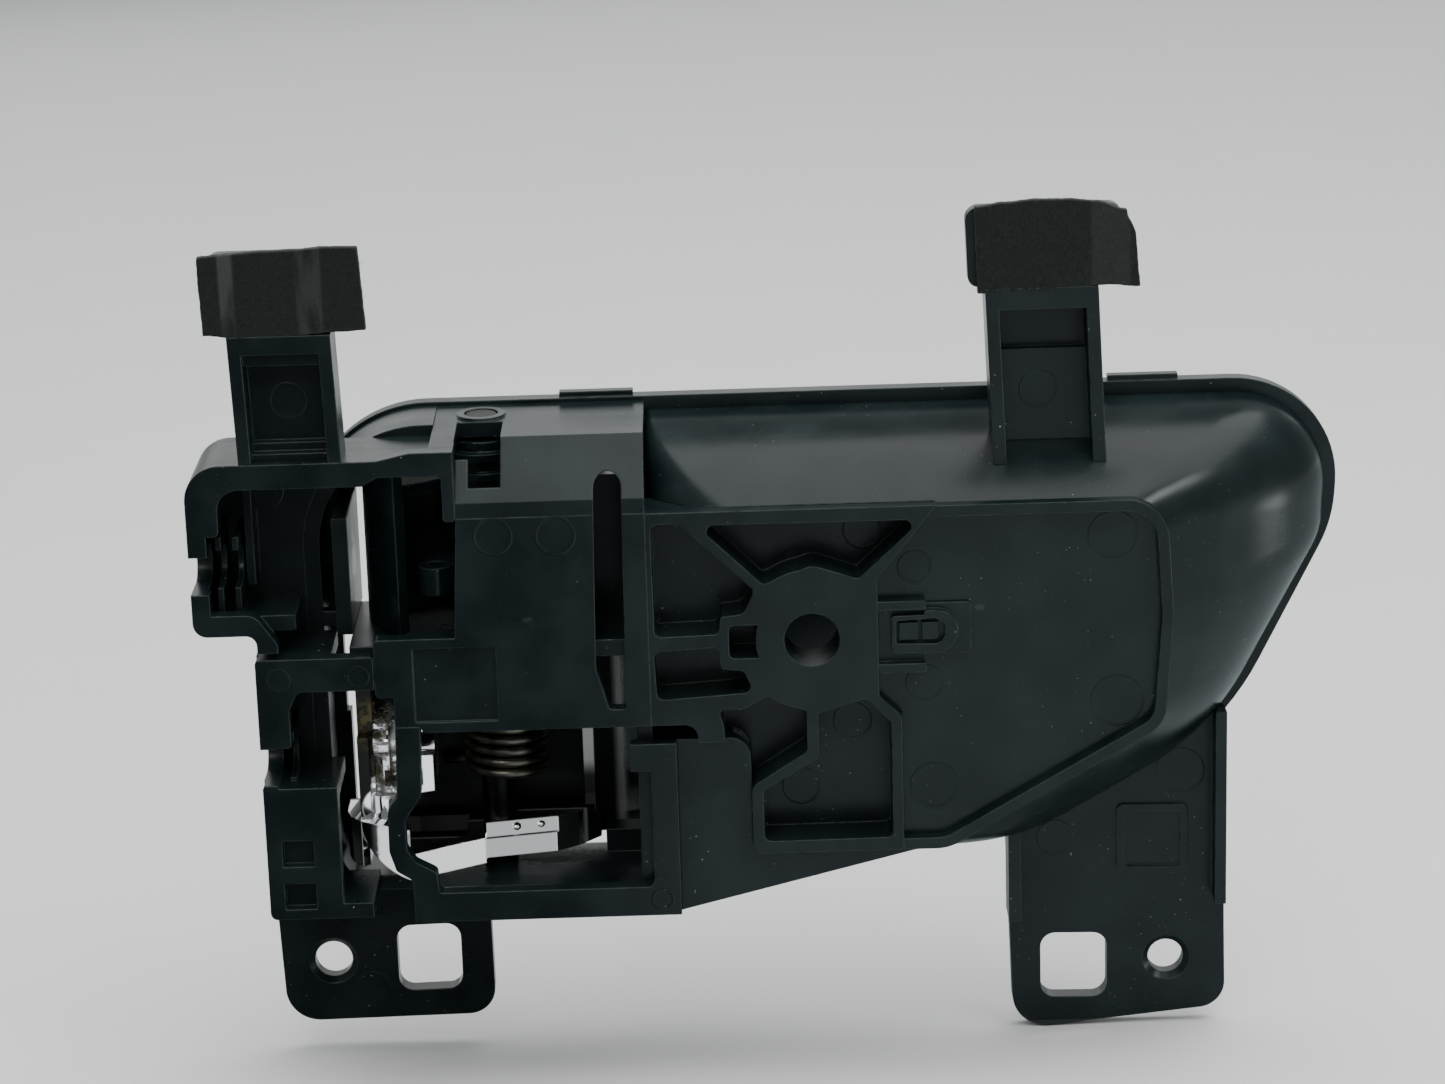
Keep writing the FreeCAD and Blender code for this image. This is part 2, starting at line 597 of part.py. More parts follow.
def return_spring():
    """Left-hand torsion spring; both legs leave along the coil's tangents."""
    top = lever_top - flange_t - 1.8
    low = top - coil_pitch * coil_turns
    rise = coil_pitch / (2 * math.pi * coil_radius)
    helix = Part.makeHelix(coil_pitch, coil_pitch * coil_turns, coil_radius)
    helix = helix.mirror(v(0, 0, 0), v(1, 0, 0))
    helix.rotate(v(0, 0, 0), v(0, 0, 1), -90)
    helix.translate(v(spring_x, spring_y, low))
    start = v(spring_x, spring_y + coil_radius, low)
    turn = math.radians(90 - 360 * coil_turns)
    stop = v(spring_x + coil_radius * math.cos(turn), spring_y + coil_radius * math.sin(turn), top)
    first = Part.makeLine(start - v(1, 0, rise) * 9.8, start)
    last = Part.makeLine(stop, stop + v(math.sin(turn), -math.cos(turn), rise) * 12.0)
    path = Part.Wire([first] + helix.Edges + [last])
    ring = Part.Wire(Part.makeCircle(wire_radius, first.Vertexes[0].Point, v(1, 0, rise)))
    return path.makePipeShell([ring], True, True)


def lock_detent_spring():
    """Bent leaf that holds the lock knob in either position."""
    t = 0.5
    nose = pin_y - hub_radius - 1.6 - gap
    path = [(pin_x + 10.5, rear_t), (pin_x + 4.0, rear_t), (pin_x - 1.5, nose - t), (pin_x, nose),
            (pin_x + 1.6, nose - t)]
    back = [(pin_x + 1.1, nose - t - 0.4), (pin_x, nose - t - 0.2), (pin_x - 0.9, nose - t - 0.6),
            (pin_x + 4.3, rear_t + t), (pin_x + 10.5, rear_t + t)]
    return prism_z(path + back, 12.5, 17.5)


def lever_bump_stop():
    return box(case_right - wall, case_right, rim_y - 1.5, grip_back - gap - 0.2, stop_low, stop_high)


# ---- lock knob -----------------------------------------------------------------
def sector(r0, r1, a0, a1, z0, z1):
    ring = cyl_z(pin_x, pin_y, r1, z0, z1).cut(cyl_z(pin_x, pin_y, r0, z0 - 1, z1 + 1))
    far = 60
    steps = 6
    points = [(pin_x, pin_y)]
    for i in range(steps + 1):
        a = math.radians(a0 + (a1 - a0) * i / steps)
        points.append((pin_x + far * math.cos(a), pin_y + far * math.sin(a)))
    return ring.common(prism_z(points, z0 - 1, z1 + 1))


def lock_knob():
    r = knob_radius
    shell = sector(r - 1.8, r, 149, 226, knob_bottom, knob_top)
    face_y = pin_y + 9.4
    paddle = box(pin_x - r, pin_x + 17.0, face_y - 2.4, face_y, knob_bottom, knob_top)
    reach = cyl_z(pin_x, pin_y, r, knob_bottom, knob_top).fuse(
        box(pin_x, pin_x + 30, pin_y, pin_y + 20, knob_bottom, knob_top))
    paddle = paddle.common(reach)
    webs = []
    for z in (2.0, 19.2):
        web = sector(hub_radius - 0.5, r - 0.5, 100, 215, z, z + 1.6)
        web = web.cut(box(-300, 300, face_y - 1, 300, -100, 100))
        webs.append(web)
    hub = cyl_z(pin_x, pin_y, hub_radius, knob_bottom, knob_top)
    hub = hub.fuse(cyl_z(pin_x, pin_y, rim_y - gap - pin_y, knob_top, top_under - 0.4))
    rings = [cyl_z(pin_x, pin_y, hub_radius + 1.0, z, z + 1.0) for z in (knob_top - 1.0, knob_top - 3.8)]
    cam = cyl_z(pin_x, pin_y, hub_radius + 1.6, 12.3, 17.7)
    for angle in (270, 295):
        a = math.radians(angle)
        reach = hub_radius + 2.4
        cam = cam.cut(cyl_z(pin_x + reach * math.cos(a), pin_y + reach * math.sin(a), 1.5, 10, 20))
    strut = box(pin_x - 1.0, pin_x + 1.0, pin_y + hub_radius - 1, face_y - 1, knob_bottom, 23.0)
    corner = plate([(pin_x - r - 1, knob_bottom, 1.5), (pin_x - r - 1, knob_top, 9), (pin_x + 17.0, knob_top, 2),
                    (pin_x + 17.0, knob_bottom, 2)], -5, 60)
    skin = join(shell, paddle).common(corner)
    body = join(skin, hub, cam, strut, *webs, *rings)
    return body.cut(cyl_z(pin_x, pin_y, pin_radius + run_clear, -5, 40))


def arm(angle, r0, r1, half, z0, z1):
    body = box(r0, r1 - half, -half, half, z0, z1).fuse(cyl_z(r1 - half, 0, half, z0, z1))
    body.rotate(v(0, 0, 0), v(0, 0, 1), angle)
    body.translate(v(pin_x, pin_y, 0))
    return body


def lock_cable_arm():
    reach = knob_radius - 2.7
    body = arm(236, 0, reach, 2.4, 6.0, 10.0).cut(cyl_z(pin_x, pin_y, hub_radius, 0, 20))
    a = math.radians(236)
    eye = reach - 2.7
    return body.cut(cyl_z(pin_x + eye * math.cos(a), pin_y + eye * math.sin(a), 1.3, 0, 20))


def lock_indicator():
    return sector(knob_radius, knob_radius + 0.2, 153, 169, 8.0, 15.5)


# ---- release lever -------------------------------------------------------------
def grip_band():
    """Plan of the grip, full height, bowed towards the fingers past the case."""
    x0 = lever_left
    x1 = lever_right
    xm = pin_x + 50
    x2 = pin_x + grip_end
    f = grip_front
    b = grip_back
    front = Part.Arc(v(x1, f, -60), v(xm, f + 2.8, -60), v(x2, f + 0.6, -60)).toShape()
    back = Part.Arc(v(x2, b + 0.4, -60), v(xm, b + 2.4, -60), v(x1, b, -60)).toShape()
    edges = [Part.makeLine(v(x0, f, -60), v(x1, f, -60)), front,
             Part.makeLine(v(x2, f + 0.6, -60), v(x2, b + 0.4, -60)), back,
             Part.makeLine(v(x1, b, -60), v(x0, b, -60)), Part.makeLine(v(x0, b, -60), v(x0, f, -60))]
    return Part.Face(Part.Wire(edges)).extrude(v(0, 0, 90))


def lever_face():
    x = pin_x
    return plate([(lever_left, lever_top, 3), (x + 15.5, lever_top, 6), (x + 33, 5.5, 14),
                  (x + grip_end, 7.5, 9), (x + grip_end, -12.0, 9), (x + 44, -22.0, 24),
                  (x + 27, lever_bottom, 14), (lever_left, lever_bottom, 8)], 0, 60)


def lever_grip():
    return grip_band().common(lever_face())


def at_pin(points, z):
    """Closed outline in plan; each point is an offset from the pin axis."""
    around = [v(pin_x + x, pin_y + y, z) for x, y in points]
    return Part.makePolygon(around + around[:1])


def pillar(points, z0, z1):
    """Upright block with its plan given from the pin axis."""
    return Part.Face(at_pin(points, z0)).extrude(v(0, 0, z1 - z0))


def lever_bracket():
    """Two knuckles on the pin, with the end wall and the rib that join them behind the grip."""
    back = grip_back - pin_y
    left = -lever_reach
    right = lever_right - pin_x
    low_top = lever_bottom + flange_t
    block = pillar([(-1.9, back), (-1.9, -3.8), (8.2, -1.8), (11.4, 0.4), (right, 4.0), (right, back)],
                   lever_bottom, low_top)
    ledge = pillar([(-3.0, -4.4), (8.4, -2.1), (8.4, -1.3), (-3.0, -3.6)], lever_bottom + 3.0, low_top + 1)
    tail = pillar([(left, back), (left, -7.8), (-12.3, -11.9), (-8.5, -9.6), (-1.9, -5.8), (-1.9, back)],
                  lever_bottom, low_top - 1.4)
    step = 1.9 + lever_t
    pocket = pillar([(left + 2.2, back - 2.0), (left + 2.2, -5.0), (-12.3, -9.4), (-8.6, -7.2), (-step, -4.2),
                     (-step, back - 2.0)], lever_bottom + 1.4, low_top + 1.0)
    upper = pillar([(left, back), (left, -5.5), (-12.5, -9.2), (11.5, -0.4), (right, back)],
                   lever_top - flange_t, lever_top)
    end = box(lever_left, lever_left + 2.2, pin_y - 5.5, grip_back, lever_bottom + 1.4, lever_top)
    flare = box(lever_left, lever_left + 1.6, pin_y - 7.4, pin_y - 5.4, lever_bottom + 1.4, crank_low + 9.0)
    rib = box(lever_right - 2.2, lever_right - 0.6, pin_y + 3.0, grip_back, low_top - 1, lever_top - 1)
    bumps = [Part.makeSphere(0.8, v(pin_x + x, pin_y + y, low_top - 1.0))
             for x, y in ((2.4, -2.0), (5.9, -1.2))]
    band = pillar([(left, -7.8), (-12.3, -11.9), (-12.3, -9.4), (left, -5.2)], low_top - 2.4, band_top)
    drum = pillar([(left - 2.3, 2.0), (left - 2.3, -3.2), (left - 1.6, -5.6), (left, -7.8), (left + 1, -7.0),
                   (left + 1, 2.0)], lever_bottom + 0.8, band_top)
    post = cyl_z(lever_left + 3.4, pin_y - 4.2, 2.9, band_top, crank_low)
    skin = join(block.cut(ledge), tail.cut(pocket), upper, end, flare, rib, band, post,
                *bumps).common(lever_face())
    return join(skin, drum).cut(cyl_z(pin_x, pin_y, pin_radius + run_clear, -60, 20))


def lever_cable_arm():
    """Crank on the end wall with the seat for the release cable."""
    left = lever_left + 2.2
    rear = pin_y - 6.2
    top = crank_low + 9.6
    low = crank_low
    right = left + 8.4
    body = prism_z([(left, grip_back), (left, rear + 1.4), (left + 1.2, rear), (left + 6.4, rear),
                    (right, rear + 0.8), (right, grip_back)], low, top)
    hood = prism_x([(rear + 0.8, top), (rear + 0.8, top + 0.8), (rear + 7.0, top + 4.6), (grip_back, top + 4.6),
                    (grip_back, top)], left, right - 1.6)
    barrel = Part.makeCylinder(2.0, right - left + 0.4, v(left, rear + 1.2, top - 2.2), v(1, 0, 0))
    inside = box(left + 1.4, right - 1.6, rear - 2, rear + 3.0, low + 1.2, top - 6.0)
    slit = box(left + 2.2, left + 3.2, rear - 2, rear + 2.4, top - 6.5, top + 1)
    return join(body, hood, barrel).cut(inside).cut(slit)


nodes = [
    cup_shell, front_bezel, rear_rib_core, rear_rim_rib, retaining_clip, case_back_plate, case_top,
    case_right_wall, middle_shelf, case_floor, case_left_wall, upper_cable_frame, lower_cable_frame,
    left_front_skin, lower_window_frame, spring_leg_rib, web_panel, top_stalk_left, top_stalk_right,
    bottom_tab_left, bottom_tab_right, felt_pad_left, felt_pad_right, hinge_pin, return_spring,
    lock_detent_spring, lever_bump_stop, lock_knob, lock_cable_arm, lock_indicator, lever_grip,
    lever_bracket, lever_cable_arm,
]
for make in nodes:
    save(make.__name__, make())
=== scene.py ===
import math
import random

import bmesh
import bpy
from mathutils import Matrix, Vector, noise


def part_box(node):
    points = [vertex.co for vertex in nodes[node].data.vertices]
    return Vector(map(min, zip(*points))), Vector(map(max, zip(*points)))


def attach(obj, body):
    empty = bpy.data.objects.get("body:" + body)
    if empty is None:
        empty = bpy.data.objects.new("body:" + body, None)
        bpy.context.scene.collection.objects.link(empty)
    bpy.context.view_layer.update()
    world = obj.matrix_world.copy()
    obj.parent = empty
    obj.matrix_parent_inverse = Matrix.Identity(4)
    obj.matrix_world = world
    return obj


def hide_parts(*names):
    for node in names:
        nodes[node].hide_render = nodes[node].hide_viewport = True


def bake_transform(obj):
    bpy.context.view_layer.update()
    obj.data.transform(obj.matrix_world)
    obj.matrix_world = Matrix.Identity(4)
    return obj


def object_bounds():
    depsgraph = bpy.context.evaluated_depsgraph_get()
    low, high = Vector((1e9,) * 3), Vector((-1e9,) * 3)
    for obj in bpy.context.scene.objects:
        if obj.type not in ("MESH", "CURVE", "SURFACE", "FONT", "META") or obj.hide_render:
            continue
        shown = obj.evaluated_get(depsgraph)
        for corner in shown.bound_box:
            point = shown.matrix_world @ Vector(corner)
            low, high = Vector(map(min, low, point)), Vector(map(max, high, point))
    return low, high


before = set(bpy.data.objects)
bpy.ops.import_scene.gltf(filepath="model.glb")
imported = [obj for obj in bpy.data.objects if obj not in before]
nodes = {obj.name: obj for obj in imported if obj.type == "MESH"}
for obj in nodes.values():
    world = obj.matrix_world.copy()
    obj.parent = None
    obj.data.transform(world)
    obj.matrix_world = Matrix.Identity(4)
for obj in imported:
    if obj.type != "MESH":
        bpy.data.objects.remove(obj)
cadBox = [list(corner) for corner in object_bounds()]
mm = 0.001


class Wire:
    # a node socket that Python arithmetic can be written on
    def __init__(self, finish, socket):
        self.finish = finish
        self.socket = socket

    def maths(self, operation, *values):
        return self.finish.add("ShaderNodeMath", {"operation": operation}, dict(enumerate(values)))

    def __add__(self, other):
        return self.maths("ADD", self, other)

    def __sub__(self, other):
        return self.maths("SUBTRACT", self, other)

    def __rsub__(self, other):
        return self.maths("SUBTRACT", other, self)

    def __mul__(self, other):
        return self.maths("MULTIPLY", self, other)

    def orElse(self, other):
        return self.maths("MAXIMUM", self, other)

    def above(self, low, high):
        # 0 below low, 1 above high, smooth between
        return self.finish.add("ShaderNodeMapRange", {"interpolation_type": "SMOOTHSTEP", "clamp": True},
                               {"Value": self, "From Min": low, "From Max": high})

    def between(self, low, high, soft):
        return self.above(low - soft, low) * (1 - self.above(high, high + soft))

    __radd__ = __add__
    __rmul__ = __mul__


class Finish:
    # one Principled material; fixed numbers go straight on the shader's own sockets
    def __init__(self, name, slot, **fixed):
        self.slot = slot
        self.material = bpy.data.materials.new(name)
        self.material.use_nodes = True
        self.tree = self.material.node_tree
        self.shader = self.tree.nodes["Principled BSDF"]
        for socket, value in fixed.items():
            self.shader.inputs[socket.replace("_", " ")].default_value = value
        self.place = self.add("ShaderNodeTexCoord", output="Object")

    def add(self, kind, settings=None, inputs=None, output=0):
        node = self.tree.nodes.new(kind)
        for key, value in (settings or {}).items():
            setattr(node, key, value)
        for key, value in (inputs or {}).items():
            self.feed(node.inputs[key], value)
        return Wire(self, node.outputs[output])

    def feed(self, socket, value):
        if isinstance(value, Wire):
            self.tree.links.new(value.socket, socket)
        else:
            socket.default_value = value

    def drive(self, **inputs):
        for key, value in inputs.items():
            self.feed(self.shader.inputs[key.replace("_", " ")], value)

    def along(self, axis):
        # the object coordinate along x, y or z, in metres
        return self.add("ShaderNodeSeparateXYZ", inputs={"Vector": self.place}, output="xyz".index(axis))

    def noise(self, size, detail=2.0, stretch=(1, 1, 1), rough=0.5):
        # size is the grain in metres, stretch makes it longer along an axis
        place = self.place
        if stretch != (1, 1, 1):
            place = self.add("ShaderNodeMapping", inputs={"Vector": place, "Scale": [1 / s for s in stretch]})
        return self.add("ShaderNodeTexNoise", inputs={"Vector": place, "Scale": 1 / size, "Detail": detail,
                                                      "Roughness": rough}, output=0)

    def mix(self, factor, a, b):
        a, b = [(*c, 1) if isinstance(c, tuple) else c for c in (a, b)]
        return self.add("ShaderNodeMix", {"data_type": "RGBA"}, {0: factor, 6: a, 7: b}, output=2)

    def near(self, point, radius, soft):
        # 1 inside a ball round point, fading to 0 over soft
        gap = self.add("ShaderNodeVectorMath", {"operation": "DISTANCE"}, {0: self.place, 1: point}, output=1)
        return 1 - gap.above(radius - soft, radius)

    def bump(self, height, depth, normal=None):
        inputs = {"Height": height, "Distance": depth, "Strength": 1.0}
        if normal:
            inputs["Normal"] = normal
        return self.add("ShaderNodeBump", inputs=inputs)

    def rounded(self, radius):
        return self.add("ShaderNodeBevel", {"samples": 6}, {"Radius": radius})

    def edges(self, rounded):
        # 1 on edges, which are painted lighter as wear and as a painted highlight: where the rounded normal leaves the
        # flat one
        flat = self.add("ShaderNodeNewGeometry", output="Normal")
        dot = self.add("ShaderNodeVectorMath", {"operation": "DOT_PRODUCT"}, {0: rounded, 1: flat}, output=1)
        return (1 - dot).above(0.01, 0.12)


# the edge-and-scratch colour: on scratches it is wear; on edges it is partly wear and partly a painted highlight of
# the rounded edges
plastic = {
    "colour": (0.0032, 0.0074, 0.0084), "faded": (0.0072, 0.0135, 0.0142), "wearAndHighlight": (0.060, 0.080, 0.078),
    "dust": (0.30, 0.31, 0.29), "roughness": 0.30, "edgeRadius": 0.30 * mm, "grain": 0.16 * mm,
}


def blackPlastic(name, slot, roughness, grainDepth, dustiness):
    f = Finish(name, slot, Specular_IOR_Level=0.5)
    cloudy = f.noise(9 * mm, 3)
    streaks = f.noise(5 * mm, 4, (6, 1, 1))
    grain = f.noise(plastic["grain"], 1)
    rounded = f.rounded(plastic["edgeRadius"])
    edge = f.edges(rounded) * f.noise(1.5 * mm, 3).above(0.25, 0.6)
    dust = f.noise(0.42 * mm, 1).above(0.765, 0.80) * f.noise(11 * mm, 2).above(0.42, 0.62) * dustiness
    scratch = f.noise(0.5 * mm, 2, (14, 1, 5)).above(0.70, 0.76) * f.noise(14 * mm, 2).above(0.5, 0.7)
    base = f.mix(cloudy.above(0.35, 0.7), plastic["colour"], plastic["faded"])
    # edges painted lighter: partly wear, partly a painted highlight where rounded edges catch the light
    base = f.mix(edge * 0.55, base, plastic["wearAndHighlight"])
    base = f.mix(scratch * 0.25, base, plastic["wearAndHighlight"])
    f.drive(Base_Color=f.mix(dust, base, plastic["dust"]),
            Roughness=(cloudy - 0.5) * 0.16 + (streaks - 0.5) * 0.16 + dust * 0.3 + roughness,
            Normal=f.bump(grain, grainDepth, f.bump(cloudy, 0.03 * mm, rounded)))
    return f


# the inside colour and roughness are painted shade: the hollow lever's recesses made dark and non-metallic
chrome = {
    "colour": (0.86, 0.87, 0.88), "inside": (0.006, 0.007, 0.0075), "insideRoughness": 0.34,
    "grease": (0.085, 0.075, 0.035), "greaseRoughness": 0.35, "roughness": 0.06, "wave": 0.012 * mm,
    "greaseSpots": [((-0.0628, 0.014, -0.0150), 5.0 * mm), ((-0.0600, 0.014, -0.0225), 4.6 * mm),
                    ((-0.0545, 0.015, -0.0285), 3.6 * mm)],
    "tipBelow": -29.5 * mm, "tip": 0.36, "turnLeftOf": -57.5 * mm, "turn": 0.42,
}


def plated(name, shadeMask, lean=None):
    # bright plating; the mask function passed in says where painted shade makes it dark and non-metallic
    f = Finish(name, "lever_chrome", Specular_IOR_Level=0.22)
    rounded = f.rounded(0.22 * mm)
    wave = f.noise(7 * mm, 2)
    pits = f.noise(0.6 * mm, 3).above(0.68, 0.78)
    paintedShade = shadeMask(f)
    smear = f.noise(2.2 * mm, 4, rough=0.65).above(0.40, 0.58)
    grease = f.near(*chrome["greaseSpots"][0], 2.5 * mm)
    for point, radius in chrome["greaseSpots"][1:]:
        grease = grease.orElse(f.near(point, radius, 2.5 * mm))
    grease = grease * smear
    if lean:
        rounded = f.bump(lean(f), 1.0, rounded)
    # painted shade: dark and non-metallic where the mask says
    colour = f.mix(paintedShade, chrome["colour"], chrome["inside"])
    f.drive(Base_Color=f.mix(grease, colour, chrome["grease"]), Metallic=(1 - paintedShade) * (1 - grease * 0.85),
            Roughness=wave * 0.05 + pits * 0.2 + paintedShade * chrome["insideRoughness"]
            + grease * chrome["greaseRoughness"] + chrome["roughness"],
            Normal=f.bump(smear * grease, 0.15 * mm, f.bump(wave, chrome["wave"], rounded)))
    return f


def steel(name, slot, colour, roughness, stretch):
    f = Finish(name, slot, Metallic=1.0)
    lines = f.noise(0.25 * mm, 3, stretch)
    stain = f.noise(2.5 * mm, 3)
    f.drive(Base_Color=f.mix(stain.above(0.4, 0.7), colour, tuple(c * 0.5 for c in colour)),
            Roughness=(lines - 0.5) * 0.2 + roughness, Normal=f.bump(lines, 0.006 * mm, f.rounded(0.1 * mm)))
    return f


def rubber():
    f = Finish("softStop", "rubber_stop")
    grain = f.noise(0.3 * mm, 3)
    f.drive(Base_Color=f.mix(grain, (0.012, 0.012, 0.012), (0.03, 0.03, 0.03)), Roughness=grain * 0.2 + 0.65,
            Normal=f.bump(grain, 0.02 * mm, f.rounded(0.3 * mm)))
    return f


def redPrint():
    f = Finish("redPrint", "red_mark")
    speck = f.noise(0.3 * mm, 2)
    f.drive(Base_Color=f.mix(speck, (0.50, 0.015, 0.015), (0.62, 0.03, 0.025)), Roughness=speck * 0.1 + 0.35)
    return f


felt = {
    "dark": (0.0014, 0.0030, 0.0028), "light": (0.011, 0.018, 0.0155), "wearAndHighlight": (0.045, 0.049, 0.046),
    "fibre": 0.32 * mm, "tuft": 1.3 * mm, "relief": 0.22 * mm,
}


def feltCloth(name, bands):
    # bands are pressed, shinier stripes: x of the middle, half width and strength
    f = Finish(name, "felt", Sheen_Weight=0.12, Sheen_Roughness=0.5)
    fibres = f.noise(felt["fibre"], 6, (1, 1, 2.6), 0.7)
    crossed = f.noise(felt["fibre"], 6, (2.6, 1, 1), 0.7)
    tufts = f.noise(felt["tuft"], 4)
    tone = (fibres * 0.5 + crossed * 0.5).above(0.38, 0.66)
    colour = f.mix(tone * (0.55 + tufts * 0.9 - 0.2), felt["dark"], felt["light"])
    x = f.along("x")
    for middle, half, strength in bands:
        stripe = x.between(middle - half, middle + half, 0.5 * mm) * f.noise(2 * mm, 3, (1, 1, 5)).above(0.3, 0.6)
        colour = f.mix(stripe * strength, colour, felt["wearAndHighlight"])
    f.drive(Base_Color=colour, Roughness=tufts * 0.1 + 0.85,
            Normal=f.bump(fibres + crossed + tufts * 0.8, felt["relief"]))
    return f


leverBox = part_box("lever_grip")
padLeft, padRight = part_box("felt_pad_left"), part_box("felt_pad_right")
padWidth = padLeft[1][0] - padLeft[0][0]
gripBack = leverBox[0][1]
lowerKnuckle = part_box("lever_bracket")[0][2] + 8.2 * mm


def gripInside(f):
    # painted shade: the back of the grip, seen from inside the case, is made dark and non-metallic
    return 1 - f.along("y").above(gripBack + 0.25 * mm, gripBack + 0.55 * mm)


def bracketInside(f):
    # painted shade: the bracket is made dark and non-metallic except the knuckle at the bottom, a post and, in part,
    # the rib at the right end, which stay bright
    low = 1 - f.along("z").above(lowerKnuckle - 0.1 * mm, lowerKnuckle + 0.1 * mm)
    rear = 1 - f.along("y").above(20.0 * mm, 21.0 * mm)
    post = f.near((-0.0616, 0.0148, -0.0270), 4.6 * mm, 0.3 * mm)
    rib = f.along("x").between(-33.4 * mm, -31.4 * mm, 0.1 * mm) * f.along("z").between(-24 * mm, -13 * mm, 3 * mm)
    return 1 - (low * rear).orElse(post).orElse(rib * 0.35)


def bracketLean(f):
    # height in metres whose slope tips the shading of the low knuckle's faces back, as a cast draft would, and turns
    # that of its left end; the faces themselves stay upright
    tipped = (chrome["tipBelow"] - f.along("z")).orElse(0.0) * chrome["tip"]
    turned = (chrome["turnLeftOf"] - f.along("x")).orElse(0.0) * chrome["turn"]
    return tipped + turned


def armInside(f):
    # painted shade: the arm is made mostly dark and non-metallic beyond 20 mm in y
    return f.along("y").above(19.0 * mm, 21.0 * mm) * 0.9


housingFinish = blackPlastic("mouldedBlack", "housing_plastic", plastic["roughness"], 0.004 * mm, 1.0)
cupFinish = blackPlastic("mouldedBlackSmooth", "housing_plastic", plastic["roughness"] - 0.06, 0.002 * mm, 0.6)
knobFinish = blackPlastic("knobBlack", "knob_plastic", plastic["roughness"] - 0.02, 0.003 * mm, 0.4)
gripFinish = plated("brightGrip", gripInside)
bracketFinish = plated("brightKnuckle", bracketInside, bracketLean)
armFinish = plated("greasedArm", armInside)
pinFinish = steel("darkPinSteel", "pin_steel", (0.035, 0.035, 0.034), 0.42, (1, 1, 8))
springFinish = steel("oiledSpringWire", "spring_steel", (0.30, 0.275, 0.225), 0.34, (1, 1, 1))
stopFinish = rubber()
redFinish = redPrint()
leftFelt = feltCloth("blackFeltLeft", [(padLeft[0][0] + 0.17 * padWidth, 0.75 * mm, 0.8),
                                       (padLeft[0][0] + 0.67 * padWidth, 1.5 * mm, 0.45)])
rightFelt = feltCloth("blackFeltRight", [(padRight[0][0] + 0.86 * padWidth, 2.4 * mm, 0.25)])

special = {
    "cup_shell": cupFinish, "lock_knob": knobFinish, "lock_cable_arm": knobFinish,
    "lever_grip": gripFinish, "lever_bracket": bracketFinish, "lever_cable_arm": armFinish,
    "hinge_pin": pinFinish, "return_spring": springFinish, "lock_detent_spring": springFinish,
    "lever_bump_stop": stopFinish, "lock_indicator": redFinish,
    "felt_pad_left": leftFelt, "felt_pad_right": rightFelt,
}
for name, node in nodes.items():
    finish = special.get(name, housingFinish)
    node.data.materials.clear()
    node.data.materials.append(finish.material)
print("materials on", len(nodes), "CAD nodes")


def newPiece(name, bm, finish, body):
    bmesh.ops.recalc_face_normals(bm, faces=bm.faces)
    mesh = bpy.data.meshes.new(name)
    bm.to_mesh(mesh)
    bm.free()
    piece = bpy.data.objects.new(name, mesh)
    bpy.context.scene.collection.objects.link(piece)
    mesh.materials.append(finish.material)
    if body:
        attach(piece, body)
    return piece


def springWire():
    bm = bmesh.new()
    bm.from_mesh(nodes["return_spring"].data)
    bmesh.ops.remove_doubles(bm, verts=bm.verts, dist=0.001 * mm)
    piece = newPiece("springWire", bm, springFinish, None)
    for face in piece.data.polygons:
        face.use_smooth = True
    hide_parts("return_spring")
    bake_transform(piece)


springWire()
print("spring made")


# felt pads: edges as offsets in mm from the node's box, from one end to the other
pads = {
    "columns": 96, "rows": 52, "ragged": 0.10, "fuzz": 0.05, "strands": 420, "strandLength": (0.5, 1.3),
    "strandRadius": 0.022,
    "felt_pad_left": {
        "finish": leftFelt, "bottom": [0.35, -0.1, 0.0, 0.1, 0.35, 0.5], "top": [-0.9, -0.55, -0.35, -0.25, 0.0, -0.1],
        "left": [0.25, 0.15, 0.0, 0.0], "right": [0.1, -0.1, -0.3, -0.5],
    },
    "felt_pad_right": {
        "finish": rightFelt, "bottom": [-0.6, -0.55, -0.5, 0.0, 0.15, -0.2],
        "top": [-0.6, -0.1, 0.2, 0.15, -0.2, -1.5], "left": [0.8, 0.7, 0.6, 0.5], "right": [0.9, 0.6, 0.35, -0.9],
    },
}


def alongEdge(offsets, share):
    # smooth value of a short list of offsets at a share of its length
    at = share * (len(offsets) - 1)
    i = min(int(at), len(offsets) - 2)
    blend = at - i
    blend = blend * blend * (3 - 2 * blend)
    return offsets[i] + (offsets[i + 1] - offsets[i]) * blend


